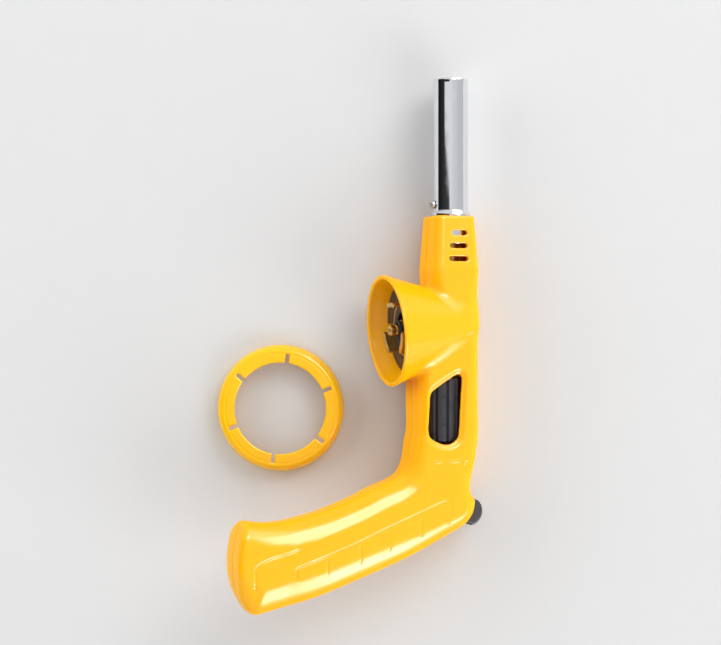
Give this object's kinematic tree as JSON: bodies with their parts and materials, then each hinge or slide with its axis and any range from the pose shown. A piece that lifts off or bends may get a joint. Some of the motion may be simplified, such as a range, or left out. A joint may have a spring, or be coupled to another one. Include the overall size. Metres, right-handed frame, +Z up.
{
  "type": "gas torch",
  "caption": "Pistol-grip gas blow torch with a chromed burner tube, cartridge socket, thumb drum flow knob, piezo push-button and a loose cartridge centring ring.",
  "frame": {"origin": "middle of the footprint on the bench, under the torch as it lies on its side with the loose ring beside it", "axes": "+Y along the burner tube towards the flame, +X away from the handle, +Z up off the bench; the torch is rolled 19.3 degrees about +Y, resting on its socket rim and body edge"},
  "size_m": [0.1366, 0.2698, 0.0671],
  "materials": {
    "yellow_plastic": "moulded semi-gloss",
    "black_plastic": "satin moulded",
    "brass": "turned",
    "rubber": "matt",
    "steel": "zinc plated",
    "chrome": "polished",
    "ceramic": "matt",
    "red_wire": "insulated wire",
    "dark_plastic": "matt"
  },
  "bodies": {
    "torch": {"shell_front": "yellow_plastic", "shell_back": "yellow_plastic", "socket_collar": "black_plastic", "cartridge_claw": "brass", "valve_body": "brass", "inlet_stem": "brass", "inlet_seal": "rubber", "gland_nut": "brass", "spindle_packing": "rubber", "gas_jet": "brass", "mixing_pipe": "brass", "burner_head": "steel", "burner_tube": "chrome", "tube_ferrule": "chrome", "tube_screw": "steel", "electrode_insulator": "ceramic", "electrode_rod": "steel", "ignition_wire": "red_wire", "earth_wire": "dark_plastic", "piezo_body": "dark_plastic", "shell_screw_1": "steel", "shell_screw_2": "steel", "shell_screw_3": "steel", "shell_screw_4": "steel", "shell_screw_5": "steel", "shell_screw_6": "steel"},
    "knob": {"flow_knob": "black_plastic"},
    "needle": {"needle_spindle": "brass"},
    "button": {"piezo_button": "black_plastic", "piezo_plunger": "steel", "button_spring": "steel"},
    "ring": {"cartridge_ring": "yellow_plastic"}
  },
  "joints": [
    {"name": "knob_turn", "type": "hinge", "parent": "torch", "child": "knob", "pos_m": [0.04548, -0.03306, 0.0174], "axis": [0, 1, 0], "range_deg": [0, 300]},
    {"name": "needle_lift", "type": "slide", "parent": "knob", "child": "needle", "axis": [0, -1, 0], "range_m": [0, 0.00076]},
    {"name": "button_press", "type": "slide", "parent": "torch", "child": "button", "axis": [-0.9088, 0.27, 0.3182], "range_m": [0, 0.0035], "deforming": ["button_spring"]},
    {"name": "ring_lift", "type": "slide", "parent": "torch", "child": "ring", "axis": [0, 0, 1], "range_m": [0, 0.12]}
  ],
  "couplings": [
    {"joint": "needle_lift", "follows": "knob_turn", "m_per_rad": 0.00014324}
  ]
}
